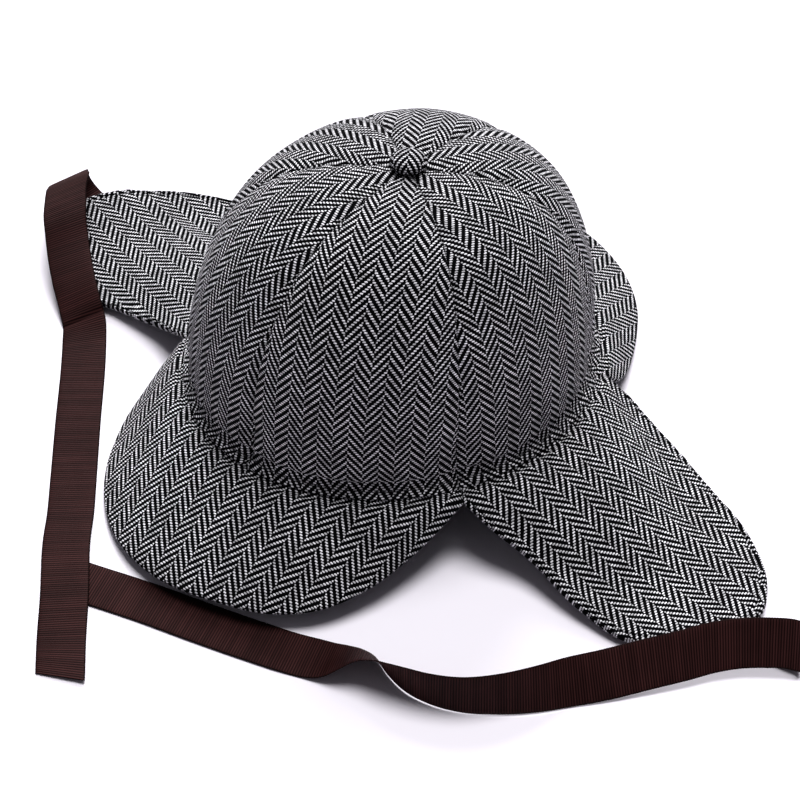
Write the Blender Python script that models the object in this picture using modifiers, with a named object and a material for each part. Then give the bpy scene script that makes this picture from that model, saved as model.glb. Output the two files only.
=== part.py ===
"""A tweed deerstalker hat lying on a flat surface: six crown gores, a top button, a front and a back peak,
two ear flaps splayed to the sides, and a ribbon tie from each flap.

Units are metres, +Z is up and the surface is z = 0. The front peak points to -Y and the wearer's left is +X.
The origin lies on the surface, under the middle of the hat without its ribbons.
"""

import math

import bmesh
import bpy
import numpy as np

MM = 0.001
PLACE = (-3 * MM, 8.5 * MM, 0.0)  # puts the origin under the middle of the hat; the sizes below are round the crown
GAP = 0.3 * MM  # clearance between pieces that are sewn together
LEDGE_GAP = 0.45 * MM  # the same under the crown's lower edge, which isn't quite parallel to the ledge

# Crown. It is an oval dome that leans back and a little to its right, because the front peak props it up.
CROWN_HALF_WIDTH = 90 * MM
CROWN_HALF_LENGTH = 98.5 * MM
CROWN_HEIGHT = 114 * MM
CROWN_SIDE_BULGE = 0.60  # under 1 keeps the side walls steep before they turn over
CROWN_TOP_BULGE = 0.93
BASE_HEIGHT = 24 * MM  # the crown's lower edge over the surface, at the middle of the hat
BASE_RISE_TO_FRONT = 0.097
BASE_RISE_TO_LEFT = 0.058
APEX_SHIFT = (4.4 * MM, 5.3 * MM)

GORE_NAMES = ("front_left", "side_left", "back_left", "back_right", "side_right", "front_right")
GORE_COLUMNS = 8
GORE_ROWS = 9
GORE_CLOTH = 2 * MM
SEAM_DIP = 0.9 * MM
SEAM_DIP_REACH = 4 * MM
GORE_PUFF = 1.2 * MM
HEM = 1 * MM  # the lowest, upright strip of a gore
FLARE = 2.5 * MM  # how far the stitched lower edge turns out
FLARE_REACH = 7 * MM
APEX_HOLE = 3 * MM  # under the button

BUTTON_RADIUS = 7.4 * MM
BUTTON_HEIGHT = 6.5 * MM
BUTTON_SIDES = 24

# Peaks and flaps hang from a narrow ledge under the crown's lower edge.
SEAM_ANGLE_GAP = math.radians(0.25)
LEDGE_IN = GORE_CLOTH
LEDGE_OUT = FLARE + 0.6 * MM
PEAK_THICKNESS = 3.5 * MM
PEAK_COLUMNS = 22
PEAK_ROWS = 6
PEAK_CROWNING = 1.3  # above 1 the peak is arched between the crown and its rim
FLAP_THICKNESS = 4 * MM
FLAP_COLUMNS = 30
FLAP_ROWS = 8
FLAP_LANDED = 0.74  # share of its length at which a flap has come down to the surface

# Outline of each piece's rim, its underside, in mm: x, y and height over the surface. Seen from above they run
# anticlockwise, from one corner where a peak meets a flap round the rim to the next. The hat has settled on its
# right side, so that side's rims lie lower.
FRONT_PEAK_RIM = (
    (-82.0, -53.0, 18.5),
    (-82.5, -63.0, 12.5),
    (-82.0, -78.0, 5.8),
    (-78.0, -100.0, 1.3),
    (-65.5, -124.0, 0.0),
    (-48.0, -142.0, 1.2),
    (-28.0, -152.5, 2.8),
    (-3.0, -156.0, 4.4),
    (26.0, -150.0, 6.0),
    (47.0, -141.5, 7.0),
    (63.0, -127.0, 8.0),
    (72.5, -107.5, 10.2),
    (78.0, -85.0, 15.0),
    (80.5, -68.0, 20.5),
    (82.0, -53.0, 27.0),
)
LEFT_FLAP_RIM = (
    (83.5, -52.5, 27.0),
    (95.0, -53.0, 22.0),
    (118.0, -50.5, 12.5),
    (150.0, -54.0, 5.0),
    (171.0, -53.0, 2.0),
    (188.0, -44.0, 1.9),
    (201.5, -31.0, 2.0),
    (209.0, -16.5, 2.0),
    (209.0, -2.0, 2.0),
    (202.0, 11.5, 1.9),
    (189.0, 24.0, 0.4),
    (174.0, 33.0, 0.0),
    (160.0, 38.0, 0.0),
    (140.0, 45.0, 0.5),
    (112.0, 52.0, 4.5),
    (95.0, 54.5, 10.5),
    (83.5, 53.0, 17.5),
)
BACK_PEAK_RIM = (
    (82.5, 53.5, 17.5),
    (83.0, 61.0, 10.0),
    (81.0, 71.0, 5.0),
    (77.0, 82.0, 2.8),
    (69.0, 98.0, 1.6),
    (57.0, 115.5, 1.2),
    (41.0, 128.5, 1.6),
    (21.0, 137.0, 2.6),
    (0.0, 140.0, 3.0),
    (-21.0, 137.0, 2.2),
    (-41.0, 128.5, 0.8),
    (-57.0, 115.5, 0.1),
    (-69.0, 98.0, 0.1),
    (-77.0, 82.0, 0.6),
    (-81.0, 71.0, 2.0),
    (-83.0, 61.0, 5.0),
    (-82.5, 53.5, 9.0),
)
RIGHT_FLAP_RIM = (
    (-83.5, 53.0, 9.2),
    (-97.0, 54.5, 6.0),
    (-114.0, 52.5, 2.2),
    (-140.0, 47.0, 0.2),
    (-157.0, 40.5, 0.0),
    (-172.0, 32.5, 0.0),
    (-186.0, 21.5, 0.4),
    (-197.0, 9.5, 1.9),
    (-203.5, -3.0, 2.0),
    (-203.0, -17.0, 2.0),
    (-197.0, -32.0, 2.0),
    (-186.0, -45.0, 1.9),
    (-171.0, -53.0, 1.2),
    (-152.0, -52.5, 1.2),
    (-136.0, -49.5, 2.6),
    (-114.0, -48.5, 6.5),
    (-95.0, -50.5, 13.5),
    (-83.5, -52.0, 18.4),
)

# Ribbon ties. Each row is a station along the ribbon: its middle in mm, then the compass direction and the
# upward tilt, in degrees, of the line across it (0 is +X, 90 is +Y). The first stations lie under the flap.
RIBBON_WIDTH = 21.2 * MM
RIBBON_THICKNESS = 0.8 * MM
RIBBON_STATIONS = 80
MOST_SKEW = 1.15  # how much longer a line across the ribbon may be where it crosses it aslant
RIGHT_TIE = (
    (-186.0, -3.5, 0.7, 90, 0),
    (-197.0, -2.0, 0.7, 88, 0),
    (-204.5, -1.5, 1.1, 86, 0),
    (-210.0, -2.5, 5.5, 83, 0),
    (-210.5, -5.0, 13.5, 79, 0),
    (-207.0, -8.5, 21.0, 76, 0),
    (-202.0, -13.0, 25.2, 73, 0),
    (-194.5, -22.0, 26.0, 77, -4),
    (-185.5, -31.5, 23.5, 73, -3),
    (-175.5, -40.5, 17.0, 66, 1),
    (-162.0, -51.0, 11.2, 60, 9),
    (-149.5, -59.5, 7.0, 57, 16),
    (-142.0, -64.5, 3.2, 56, 10),
    (-134.5, -72.0, 1.0, 50, 2),
    (-126.0, -81.0, 0.7, 44, 0),
    (-98.0, -112.5, 0.7, 42, 0),
    (-75.0, -138.0, 0.7, 42, 0),
    (-62.0, -152.5, 0.9, 42, 0),
    (-52.0, -164.5, 1.9, 42, 0),
    (-30.0, -187.5, 1.9, 43, 0),
    (-16.0, -203.0, 0.9, 42, 0),
    (-1.0, -218.5, 1.4, 27, 4),
)
LEFT_TIE = (
    (187.0, -24.0, 0.7, 118, 0),
    (199.0, -18.5, 0.7, 118, 0),
    (212.0, -14.0, 0.8, 119, 0),
    (224.0, -10.0, 2.4, 119, 6),
    (232.5, -9.0, 6.0, 121, 20),
    (234.0, -12.0, 10.2, 123, 33),
    (229.5, -16.0, 12.8, 125, 40),
    (221.5, -22.0, 13.0, 127, 40),
    (214.5, -27.5, 12.4, 129, 38),
    (206.0, -36.5, 11.6, 131, 37),
    (197.5, -48.5, 10.6, 136, 37),
    (188.0, -61.0, 9.3, 138, 36),
    (177.5, -75.0, 7.8, 139, 37),
    (168.5, -87.5, 8.2, 137, 46),
    (160.5, -100.5, 9.9, 135, 60),
    (150.5, -113.0, 10.9, 134, 73),
    (138.5, -123.5, 11.2, 131, 82),
    (126.5, -129.5, 11.3, 127, 89),
    (115.5, -132.3, 11.3, 125, 98),
    (107.0, -132.6, 10.9, 125, 112),
    (98.5, -131.8, 10.2, 125, 130),
    (92.0, -133.5, 8.6, 122, 140),
    (86.5, -136.8, 5.6, 118, 155),
    (81.0, -140.0, 2.2, 113, 171),
    (74.0, -143.2, 0.8, 110, 180),
    (64.0, -147.2, 0.7, 109, 180),
    (50.0, -151.8, 0.7, 108, 180),
    (28.0, -158.5, 0.7, 107, 180),
    (0.0, -166.5, 0.7, 107, 180),
    (-34.0, -177.5, 0.7, 108, 180),
)

TWEED = {"color": (0.20, 0.20, 0.21, 1.0), "roughness": 0.95}
RIBBON = {"color": (0.045, 0.020, 0.018, 1.0), "roughness": 0.7}


def make_material(name, finish):
    material = bpy.data.materials.new(name)
    material.use_nodes = True
    shader = material.node_tree.nodes["Principled BSDF"]
    shader.inputs["Base Color"].default_value = finish["color"]
    shader.inputs["Roughness"].default_value = finish["roughness"]
    shader.inputs["Metallic"].default_value = 0.0
    material.diffuse_color = finish["color"]
    return material


def add_piece(name, mesh, finish, collection):
    """Puts a mesh in the scene as one smooth-shaded piece with its own material."""
    mesh.materials.append(make_material(name + "_material", finish))
    mesh.shade_smooth()
    mesh.set_sharp_from_angle(angle=math.radians(45))
    piece = bpy.data.objects.new(name, mesh)
    collection.objects.link(piece)
    return piece


def surface_mesh(name, lines):
    """An open surface through lines of points, all of the same length."""
    mesh_builder = bmesh.new()
    verts = [[mesh_builder.verts.new(point) for point in line] for line in lines]
    for line, following in zip(verts, verts[1:]):
        for i in range(len(line) - 1):
            mesh_builder.faces.new((line[i], line[i + 1], following[i + 1], following[i]))
    mesh = bpy.data.meshes.new(name)
    mesh_builder.to_mesh(mesh)
    mesh_builder.free()
    return mesh


def thicken(piece, thickness, side):
    """Gives an open surface a wall: side 1 adds it along the normals, -1 against them, 0 on both sides."""
    solidify = piece.modifiers.new("cloth", "SOLIDIFY")
    solidify.thickness = thickness
    solidify.offset = side
    solidify.use_rim = True


def smooth_through(rows, shares, place_columns):
    """Cubic curve through the rows, read at shares of its length; place_columns of them measure the length."""
    rows = np.array(rows, dtype=float)
    steps = np.linalg.norm(np.diff(rows[:, :place_columns], axis=0), axis=1)
    knots = np.concatenate([[0.0], np.cumsum(steps)]) / steps.sum()
    slopes = np.gradient(rows, knots, axis=0)
    spans = np.clip(np.searchsorted(knots, shares, side="right") - 1, 0, len(knots) - 2)
    width = (knots[spans + 1] - knots[spans])[:, None]
    t = (shares - knots[spans])[:, None] / width
    start, end = rows[spans], rows[spans + 1]
    rise = start * (1 + 2 * t) * (1 - t) ** 2 + end * t**2 * (3 - 2 * t)
    return rise + width * (slopes[spans] * t * (1 - t) ** 2 - slopes[spans + 1] * t**2 * (1 - t))


# Crown ------------------------------------------------------------------------------------------------------


def base_height(x, y):
    """Height of the plane that the crown's lower edge lies in."""
    return BASE_HEIGHT + BASE_RISE_TO_LEFT * x - BASE_RISE_TO_FRONT * y


def dome_profile():
    """The dome from its lower edge to its top: length run along it, turn, inward shrink and lift."""
    turn = np.linspace(0.0, math.pi / 2, 600)
    shrink = np.cos(turn) ** CROWN_SIDE_BULGE
    shrink[-1] = 0.0
    lift = np.sin(turn) ** CROWN_TOP_BULGE
    radius = (CROWN_HALF_WIDTH + CROWN_HALF_LENGTH) / 2
    steps = np.hypot(np.diff(shrink) * radius, np.diff(lift) * CROWN_HEIGHT)
    return np.concatenate([[0.0], np.cumsum(steps)]), turn, shrink, lift


DOME = dome_profile()
DOME_RUN = DOME[0][-1]


def crown_point(angle, run, puff=0.0):
    """A point of the dome, at an angle from the front towards +X, that far up the cloth and pushed out by puff."""
    turn, shrink, lift = (np.interp(run, DOME[0], column) for column in DOME[1:])
    across, along = math.sin(angle), -math.cos(angle)
    x = across * (CROWN_HALF_WIDTH * shrink + puff * math.cos(turn)) + APEX_SHIFT[0] * lift**2
    y = along * (CROWN_HALF_LENGTH * shrink + puff * math.cos(turn)) + APEX_SHIFT[1] * lift**2
    return (x, y, base_height(x, y) + CROWN_HEIGHT * lift + puff * math.sin(turn))


def gore_puff(run, column_share, gore_width):
    """How far a gore stands out: full between its seams, dipped at them, and turned out at its lower edge."""
    from_seam = min(column_share, 1 - column_share) * gore_width
    fullness = GORE_PUFF * math.sin(math.pi * column_share) * math.sin(math.pi * run / DOME_RUN)
    dip = SEAM_DIP * math.exp(-((from_seam / SEAM_DIP_REACH) ** 2)) * min(1.0, run / FLARE_REACH)
    flare = FLARE * max(0.0, 1 - max(0.0, run - HEM) / FLARE_REACH) ** 2
    return fullness - dip + flare


def build_gore(name, first_angle, last_angle, collection):
    """One gore, from the lower edge to the hole under the button, with its columns closer near the seams."""
    top_run = np.interp(-APEX_HOLE / CROWN_HALF_WIDTH, -DOME[2], DOME[0])
    runs = [0.0, HEM, HEM + FLARE_REACH / 2, *np.linspace(HEM + FLARE_REACH, top_run, GORE_ROWS)]
    shares = [(1 - math.cos(math.pi * i / GORE_COLUMNS)) / 2 for i in range(GORE_COLUMNS + 1)]
    lines = []
    for run in runs:
        radius = CROWN_HALF_WIDTH * np.interp(run, DOME[0], DOME[2])
        seam_gap = GAP / 2 / radius
        low, high = first_angle + seam_gap, last_angle - seam_gap
        width = (high - low) * radius
        lines.append([crown_point(low + (high - low) * s, run, gore_puff(run, s, width)) for s in shares])
    piece = add_piece(name, surface_mesh(name, lines), TWEED, collection)
    thicken(piece, GORE_CLOTH, -1)


def build_crown(collection):
    gore_angle = 2 * math.pi / len(GORE_NAMES)
    for i, gore_name in enumerate(GORE_NAMES):
        build_gore("crown_gore_" + gore_name, i * gore_angle, (i + 1) * gore_angle, collection)


def build_button(collection):
    """A cloth-covered button: a low dome turned about its own axis and seated flat on the crown's top."""
    profile = [(0.0, BUTTON_HEIGHT)]
    for degrees in (75, 55, 35, 15, -10, -35):
        angle = math.radians(degrees)
        height = BUTTON_HEIGHT * (0.42 + 0.58 * math.sin(angle))
        profile.append((BUTTON_RADIUS * math.cos(angle), height))
    profile += [(BUTTON_RADIUS * 0.7, 0.0), (0.0, 0.0)]
    outline = bpy.data.meshes.new("top_button")
    edges = [(i, i + 1) for i in range(len(profile) - 1)]
    outline.from_pydata([(radius, 0.0, height) for radius, height in profile], edges, [])
    piece = add_piece("top_button", outline, TWEED, collection)
    screw = piece.modifiers.new("turn", "SCREW")
    screw.steps = screw.render_steps = BUTTON_SIDES
    screw.use_merge_vertices = True
    screw.merge_threshold = 0.00001
    apex = crown_point(0.0, DOME_RUN)
    piece.location = (apex[0], apex[1], apex[2] + GAP)
    piece.rotation_euler = (math.atan(-BASE_RISE_TO_FRONT), math.atan(-BASE_RISE_TO_LEFT), 0.0)


# Peaks and ear flaps ----------------------------------------------------------------------------------------


def ledge_point(angle, outward, thickness):
    """A point on the underside of the ledge by which a peak or flap is sewn in under the crown's lower edge."""
    x = (CROWN_HALF_WIDTH + outward) * math.sin(angle)
    y = -(CROWN_HALF_LENGTH + outward) * math.cos(angle)
    return np.array([x, y, base_height(x, y) - LEDGE_GAP - 1.01 * thickness])


def peak_fall(t):
    return 1 - t**PEAK_CROWNING


def flap_fall(t):
    return (1 + math.cos(math.pi * min(t / FLAP_LANDED, 1.0))) / 2


def brim_line(angle, rim_point, thickness, rows, fall):
    """Points of the underside from the ledge, at an angle from the front towards +X, out to a point of the rim."""
    inner = ledge_point(angle, -LEDGE_IN, thickness)
    outer = ledge_point(angle, LEDGE_OUT, thickness)
    line = [inner, outer]
    for t in np.linspace(0.0, 1.0, rows + 1)[1:]:
        place = outer[:2] + (rim_point[:2] - outer[:2]) * t
        line.append((*place, rim_point[2] + (outer[2] - rim_point[2]) * fall(t)))
    return line


def build_brim_piece(name, rim_rows, first_degrees, last_degrees, cloth, collection):
    """A peak or flap between two angles of the crown's lower edge and its rim."""
    thickness, columns, rows, fall = cloth
    shares = np.linspace(0.0, 1.0, columns + 1)
    rim = smooth_through(rim_rows, shares, 2) * MM
    rim[:, 2] = np.maximum(rim[:, 2], 0.0)
    first = math.radians(first_degrees) + SEAM_ANGLE_GAP
    last = math.radians(last_degrees) - SEAM_ANGLE_GAP
    angles = first + (last - first) * shares
    lines = [brim_line(angle, point, thickness, rows, fall) for angle, point in zip(angles, rim)]
    piece = add_piece(name, surface_mesh(name, lines), TWEED, collection)
    thicken(piece, thickness, 1)


PEAK_CLOTH = (PEAK_THICKNESS, PEAK_COLUMNS, PEAK_ROWS, peak_fall)
FLAP_CLOTH = (FLAP_THICKNESS, FLAP_COLUMNS, FLAP_ROWS, flap_fall)


# Ribbon ties ------------------------------------------------------------------------------------------------


def build_ribbon(name, stations, collection):
    """A flat ribbon along its stations, each with the direction and tilt of the line across it."""
    curve = smooth_through(stations, np.linspace(0.0, 1.0, RIBBON_STATIONS), 3)
    middles = curve[:, :3] * MM
    tangents = np.gradient(middles, axis=0)
    tangents /= np.linalg.norm(tangents, axis=1)[:, None]
    left_edge, right_edge = [], []
    for middle, tangent, (compass, tilt) in zip(middles, tangents, np.radians(curve[:, 3:])):
        level = math.cos(tilt)
        across = np.array([level * math.cos(compass), level * math.sin(compass), math.sin(tilt)])
        skew = min(MOST_SKEW, 1 / np.linalg.norm(np.cross(across, tangent)))
        left_edge.append(middle - across * skew * RIBBON_WIDTH / 2)
        right_edge.append(middle + across * skew * RIBBON_WIDTH / 2)
    piece = add_piece(name, surface_mesh(name, [left_edge, right_edge]), RIBBON, collection)
    thicken(piece, RIBBON_THICKNESS, 0)


def build_hat():
    for obj in list(bpy.data.objects):
        bpy.data.objects.remove(obj, do_unlink=True)
    hat = bpy.data.collections.new("deerstalker_hat")
    bpy.context.scene.collection.children.link(hat)
    centre = bpy.data.objects.new("crown_centre", None)
    centre.location = PLACE
    hat.objects.link(centre)
    build_crown(hat)
    build_button(hat)
    build_brim_piece("front_peak", FRONT_PEAK_RIM, -60, 60, PEAK_CLOTH, hat)
    build_brim_piece("ear_flap_left", LEFT_FLAP_RIM, 60, 120, FLAP_CLOTH, hat)
    build_brim_piece("back_peak", BACK_PEAK_RIM, 120, 240, PEAK_CLOTH, hat)
    build_brim_piece("ear_flap_right", RIGHT_FLAP_RIM, 240, 300, FLAP_CLOTH, hat)
    build_ribbon("ribbon_tie_left", LEFT_TIE, hat)
    build_ribbon("ribbon_tie_right", RIGHT_TIE, hat)
    for piece in hat.objects:
        if piece != centre:
            piece.parent = centre


build_hat()
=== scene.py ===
"""Looks of the tweed deerstalker hat: herringbone gores, button, peaks and ear flaps, ribbed ribbon ties,
stitches, floor, light and camera.

Units are metres, +Z is up, the front peak points to -Y and the wearer's left is +X, as in the CAD model. The
sizes and tables of the CAD source are repeated here, with a fuller lower edge and button, so that each
finished piece keeps the form of the solid it replaces.
"""

import math

import bmesh
import bpy
import numpy as np
from mathutils import Euler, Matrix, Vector, noise


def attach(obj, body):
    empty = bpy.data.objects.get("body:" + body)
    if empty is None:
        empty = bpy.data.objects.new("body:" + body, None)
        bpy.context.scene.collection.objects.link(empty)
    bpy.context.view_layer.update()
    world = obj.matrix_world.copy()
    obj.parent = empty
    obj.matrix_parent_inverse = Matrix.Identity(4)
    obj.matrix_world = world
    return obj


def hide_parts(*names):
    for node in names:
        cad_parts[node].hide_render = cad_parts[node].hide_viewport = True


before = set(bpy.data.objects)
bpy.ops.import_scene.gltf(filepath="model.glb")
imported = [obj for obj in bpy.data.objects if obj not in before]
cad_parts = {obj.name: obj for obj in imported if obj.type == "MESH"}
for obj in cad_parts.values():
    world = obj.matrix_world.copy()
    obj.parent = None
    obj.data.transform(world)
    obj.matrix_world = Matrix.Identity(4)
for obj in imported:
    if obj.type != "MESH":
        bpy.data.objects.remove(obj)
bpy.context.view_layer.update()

MM = 0.001

# Form of the hat. Its sizes are round the crown's centre, which PLACE puts in the frame.
PLACE = np.array((-3.0, 8.5, 0.0)) * MM
CROWN_HALF_WIDTH = 90 * MM
CROWN_HALF_LENGTH = 98.5 * MM
CROWN_HEIGHT = 114 * MM
CROWN_SIDE_BULGE = 0.60
CROWN_TOP_BULGE = 0.93
BASE_HEIGHT = 24 * MM
BASE_RISE_TO_FRONT = 0.097
BASE_RISE_TO_LEFT = 0.058
APEX_SHIFT = (4.4 * MM, 5.3 * MM)

GORE_NAMES = ("front_left", "side_left", "back_left", "back_right", "side_right", "front_right")
GORE_ANGLE = 2 * math.pi / len(GORE_NAMES)
GORE_CLOTH = 2 * MM
SEAM_DIP = 0.9 * MM
SEAM_DIP_REACH = 4 * MM
GORE_PUFF = 1.2 * MM
FLARE = 4.0 * MM  # how far the stitched lower edge turns out
FLARE_REACH = 6.0 * MM
FLARE_LEVEL = 0.70  # how flat the flared edge lies, from 0 for as steep as the wall
CREASE = 1.3 * MM  # where the flared edge meets the wall
CREASE_REACH = 1.7 * MM
BRIM_CORNERS = (60, 120, 240, 300)  # degrees round the crown at which a peak and a flap meet
HEM_DROP = 0.5 * MM
CORNER_DROP = 1.6 * MM  # the gores' edge hangs lower there, over the ends of the peaks and flaps
CORNER_REACH = 5  # degrees
HEM_DROP_REACH = 3 * MM
APEX_HOLE = 3 * MM

BUTTON_RADIUS = 8.2 * MM
BUTTON_HEIGHT = 6.5 * MM
BUTTON_SEAT = 0.3 * MM  # the button sits this far over the crown's top
BUTTON_COLUMNS = 96
BUTTON_ROWS = 32
BUTTON_WAIST = 0.36  # share of its height at which it is widest
BUTTON_SIDE_BULGE = 0.85  # under 1 keeps its sides steep
BUTTON_UNDERCUT = 40  # degrees by which its side turns in under the waist
BUTTON_FOOT = 0.6  # share of its radius
BUTTON_SMOOTH = 0.45  # share of its radius up to which the cloth has no gathers
BUTTON_GATHERS = 9
BUTTON_GATHER_DEPTH = 0.025  # share of its radius
BUTTON_GATHER_SKEW = 1.3  # how unevenly the gathers stand
BUTTON_GRAIN = 0.6  # turn of its cloth, in radians

SEAM_ANGLE_GAP = math.radians(0.25)
LEDGE_GAP = 0.45 * MM
LEDGE_IN = GORE_CLOTH
LEDGE_OUT = 3.8 * MM
PEAK_THICKNESS = 3.5 * MM
PEAK_CROWNING = 1.3
FLAP_THICKNESS = 4 * MM
FLAP_LANDED = 0.74

# Underside of each rim in mm: x, y and height over the surface, anticlockwise as seen from above.
FRONT_PEAK_RIM = (
    (-82.0, -53.0, 18.5),
    (-82.5, -63.0, 12.5),
    (-82.0, -78.0, 5.8),
    (-78.0, -100.0, 1.3),
    (-65.5, -124.0, 0.0),
    (-48.0, -142.0, 1.2),
    (-28.0, -152.5, 2.8),
    (-3.0, -156.0, 4.4),
    (26.0, -150.0, 6.0),
    (47.0, -141.5, 7.0),
    (63.0, -127.0, 8.0),
    (72.5, -107.5, 10.2),
    (78.0, -85.0, 15.0),
    (80.5, -68.0, 20.5),
    (82.0, -53.0, 27.0),
)
LEFT_FLAP_RIM = (
    (83.5, -52.5, 27.0),
    (95.0, -53.0, 22.0),
    (118.0, -50.5, 12.5),
    (150.0, -54.0, 5.0),
    (171.0, -53.0, 2.0),
    (188.0, -44.0, 1.9),
    (201.5, -31.0, 2.0),
    (209.0, -16.5, 2.0),
    (209.0, -2.0, 2.0),
    (202.0, 11.5, 1.9),
    (189.0, 24.0, 0.4),
    (174.0, 33.0, 0.0),
    (160.0, 38.0, 0.0),
    (140.0, 45.0, 0.5),
    (112.0, 52.0, 4.5),
    (95.0, 54.5, 10.5),
    (83.5, 53.0, 17.5),
)
BACK_PEAK_RIM = (
    (82.5, 53.5, 17.5),
    (83.0, 61.0, 10.0),
    (81.0, 71.0, 5.0),
    (77.0, 82.0, 2.8),
    (69.0, 98.0, 1.6),
    (57.0, 115.5, 1.2),
    (41.0, 128.5, 1.6),
    (21.0, 137.0, 2.6),
    (0.0, 140.0, 3.0),
    (-21.0, 137.0, 2.2),
    (-41.0, 128.5, 0.8),
    (-57.0, 115.5, 0.1),
    (-69.0, 98.0, 0.1),
    (-77.0, 82.0, 0.6),
    (-81.0, 71.0, 2.0),
    (-83.0, 61.0, 5.0),
    (-82.5, 53.5, 9.0),
)
RIGHT_FLAP_RIM = (
    (-83.5, 53.0, 9.2),
    (-97.0, 54.5, 6.0),
    (-114.0, 52.5, 2.2),
    (-140.0, 47.0, 0.2),
    (-157.0, 40.5, 0.0),
    (-172.0, 32.5, 0.0),
    (-186.0, 21.5, 0.4),
    (-197.0, 9.5, 1.9),
    (-203.5, -3.0, 2.0),
    (-203.0, -17.0, 2.0),
    (-197.0, -32.0, 2.0),
    (-186.0, -45.0, 1.9),
    (-171.0, -53.0, 1.2),
    (-152.0, -52.5, 1.2),
    (-136.0, -49.5, 2.6),
    (-114.0, -48.5, 6.5),
    (-95.0, -50.5, 13.5),
    (-83.5, -52.0, 18.4),
)

# Ribbon ties: the middle of each station in mm, then the compass direction and the upward tilt, in degrees,
# of the line across the ribbon. The first stations lie under the flap.
RIBBON_WIDTH = 21.2 * MM
RIBBON_THICKNESS = 0.6 * MM
MOST_SKEW = 1.15  # how much longer a line across the ribbon may be where it crosses it aslant
RIBBON_COLUMNS = 10
SELVEDGE_POWER = 8  # the higher, the squarer the ribbon's edges
ROUGH_STATIONS = 400  # places at which a ribbon's length is first measured
STATIONS_PER_RIB = 4
RIGHT_TIE = (
    (-186.0, -3.5, 0.7, 90, 0),
    (-197.0, -2.0, 0.7, 88, 0),
    (-204.5, -1.5, 1.1, 86, 0),
    (-210.0, -2.5, 5.5, 83, 0),
    (-210.5, -5.0, 13.5, 79, 0),
    (-207.0, -8.5, 21.0, 76, 0),
    (-202.0, -13.0, 25.2, 73, 0),
    (-194.5, -22.0, 26.0, 77, -4),
    (-185.5, -31.5, 23.5, 73, -3),
    (-175.5, -40.5, 17.0, 66, 1),
    (-162.0, -51.0, 11.2, 60, 9),
    (-149.5, -59.5, 7.0, 57, 16),
    (-142.0, -64.5, 3.2, 56, 10),
    (-134.5, -72.0, 1.0, 50, 2),
    (-126.0, -81.0, 0.7, 44, 0),
    (-98.0, -112.5, 0.7, 42, 0),
    (-75.0, -138.0, 0.7, 42, 0),
    (-62.0, -152.5, 0.9, 42, 0),
    (-52.0, -164.5, 1.9, 42, 0),
    (-30.0, -187.5, 1.9, 43, 0),
    (-16.0, -203.0, 0.9, 42, 0),
    (-1.0, -218.5, 1.4, 27, 4),
)
LEFT_TIE = (
    (187.0, -24.0, 0.7, 118, 0),
    (199.0, -18.5, 0.7, 118, 0),
    (212.0, -14.0, 0.8, 119, 0),
    (224.0, -10.0, 2.4, 119, 6),
    (232.5, -9.0, 6.0, 121, 20),
    (234.0, -12.0, 10.2, 123, 33),
    (229.5, -16.0, 12.8, 125, 40),
    (221.5, -22.0, 13.0, 127, 40),
    (214.5, -27.5, 12.4, 129, 38),
    (206.0, -36.5, 11.6, 131, 37),
    (197.5, -48.5, 10.6, 136, 37),
    (188.0, -61.0, 9.3, 138, 36),
    (177.5, -75.0, 7.8, 139, 37),
    (168.5, -87.5, 8.2, 137, 46),
    (160.5, -100.5, 9.9, 135, 60),
    (150.5, -113.0, 10.9, 134, 73),
    (138.5, -123.5, 11.2, 131, 82),
    (126.5, -129.5, 11.3, 127, 89),
    (115.5, -132.3, 11.3, 125, 98),
    (107.0, -132.6, 10.9, 125, 112),
    (98.5, -131.8, 10.2, 125, 130),
    (92.0, -133.5, 8.6, 122, 140),
    (86.5, -136.8, 5.6, 118, 155),
    (81.0, -140.0, 2.2, 113, 171),
    (74.0, -143.2, 0.8, 110, 180),
    (64.0, -147.2, 0.7, 109, 180),
    (50.0, -151.8, 0.7, 108, 180),
    (28.0, -158.5, 0.7, 107, 180),
    (0.0, -166.5, 0.7, 107, 180),
    (-34.0, -177.5, 0.7, 108, 180),
)
FOLD_DEPTH = 1.2 * MM
FOLD_REACH = 1.3 * MM
FOLD_LEAN = 0.1
RIGHT_FOLDS = (133 * MM,)  # length along the tie at which it is sharply bent
LEFT_FOLDS = ()
RIGHT_EXIT = (-204.5, -1.5, 1.1)  # where each tie leaves the hat, under the tip of its flap, in mm
LEFT_EXIT = (199.0, -18.5, 0.7)

# Herringbone cloth and ribbon
CLOTH_MAP = "cloth"  # UV map of each piece: place on the flat cloth, in metres, with columns along v
YARN_WIDTH = 0.84 * MM
PICK_PITCH = 1.02 * MM
COLUMN_YARNS = 8
TWILL_REPEAT = 4
RIB_PITCH = 1.16 * MM
RIB_HEIGHT = 0.045 * MM
# the dark warp yarn, whose colour also fills the painted shade in the gaps between pale floats
DARK_YARN_AND_GAP_SHADE = (0.003, 0.003, 0.004, 1.0)
PALE_YARN = (0.87, 0.86, 0.90, 1.0)
RIBBON_GROOVE_SHADE_BROWN = (0.010, 0.0035, 0.0036, 1.0)  # painted shade between the ribs
# painted highlight: the fine lit line along each rib's crest
RIBBON_RIB_HIGHLIGHT_BROWN = (0.050, 0.0190, 0.0185, 1.0)
# painted shade along the selvedges, where the ribbon's edges round off
RIBBON_EDGE_SHADE_BROWN = (0.014, 0.0052, 0.0050, 1.0)
THREAD_BLACK = (0.008, 0.008, 0.009, 1.0)
THREAD_FIBRE_GREY = (0.045, 0.045, 0.05, 1.0)

# Compass direction, in degrees, in which the herringbone columns run on each laid-out piece
FRONT_PEAK_GRAIN = 95.0
LEFT_FLAP_GRAIN = -3.5
BACK_PEAK_GRAIN = 90.0
RIGHT_FLAP_GRAIN = 165.0

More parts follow.
